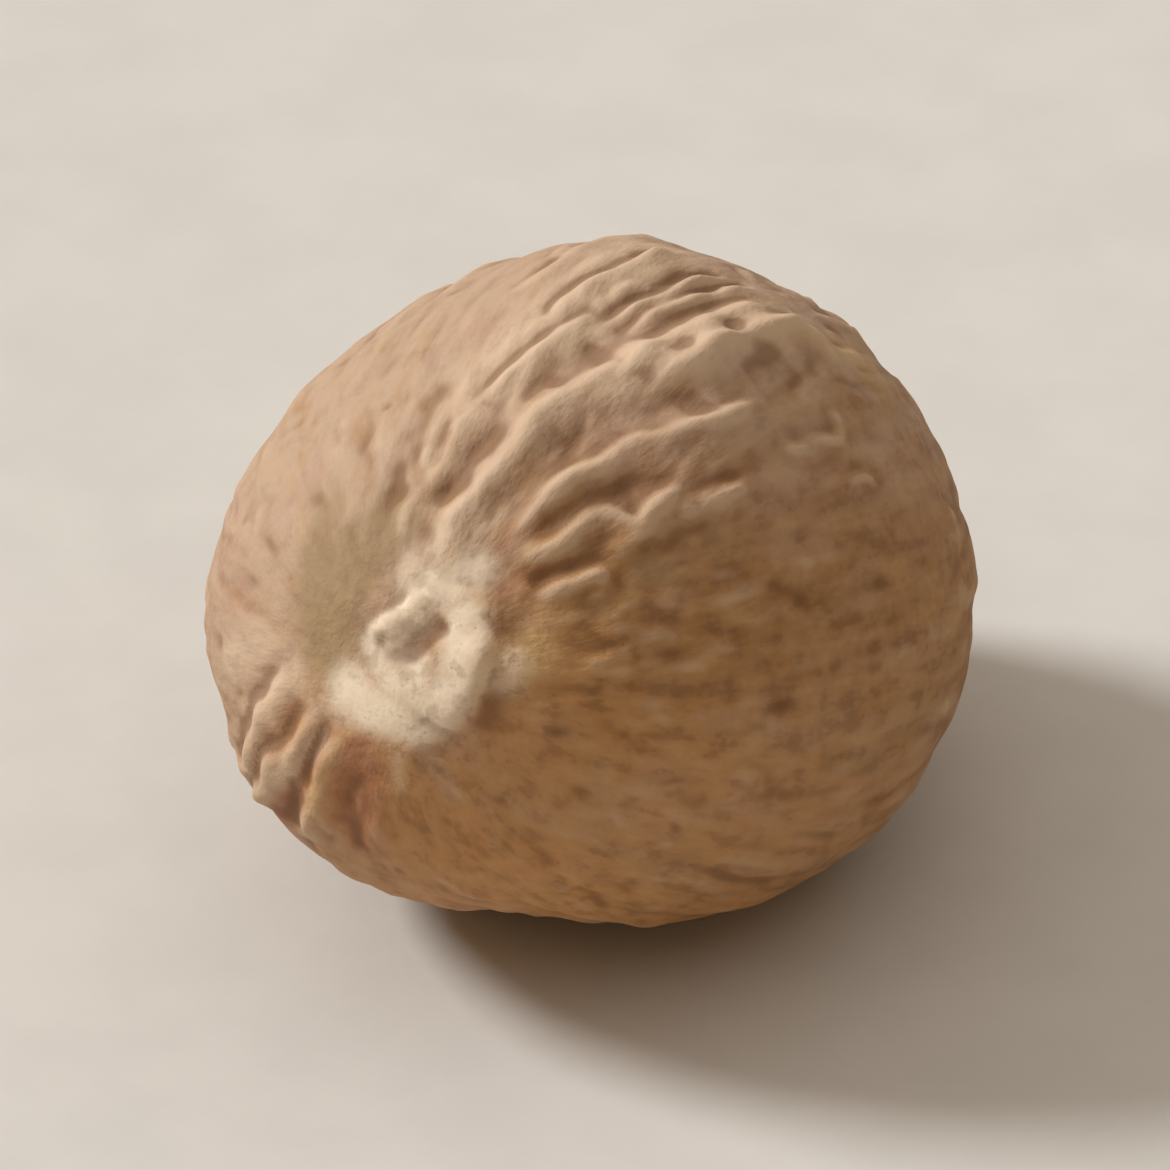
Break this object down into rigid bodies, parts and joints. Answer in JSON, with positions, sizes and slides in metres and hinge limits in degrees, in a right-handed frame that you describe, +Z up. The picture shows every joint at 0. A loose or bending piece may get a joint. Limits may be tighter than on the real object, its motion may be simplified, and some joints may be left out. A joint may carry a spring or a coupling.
{
  "type": "whole nutmeg",
  "caption": "Whole dried nutmeg: an egg-shaped seed with snaking lengthwise folds, a pitted pale scar on its fat end and a small flat spot that it rests on.",
  "frame": {"origin": "on the ground under the middle of the seed, at the centre of its box's bottom", "axes": "+Z up; the seed's long axis lies in the YZ plane, with the scar end towards -Y raised by 20 degrees and the narrow end towards +Y"},
  "size_m": [0.0186, 0.0228, 0.0175],
  "materials": {
    "nutmeg_skin": "dry, matte, finely pitted and creased seed coat"
  },
  "bodies": {
    "root": {"nutmeg": "nutmeg_skin"}
  },
  "joints": []
}
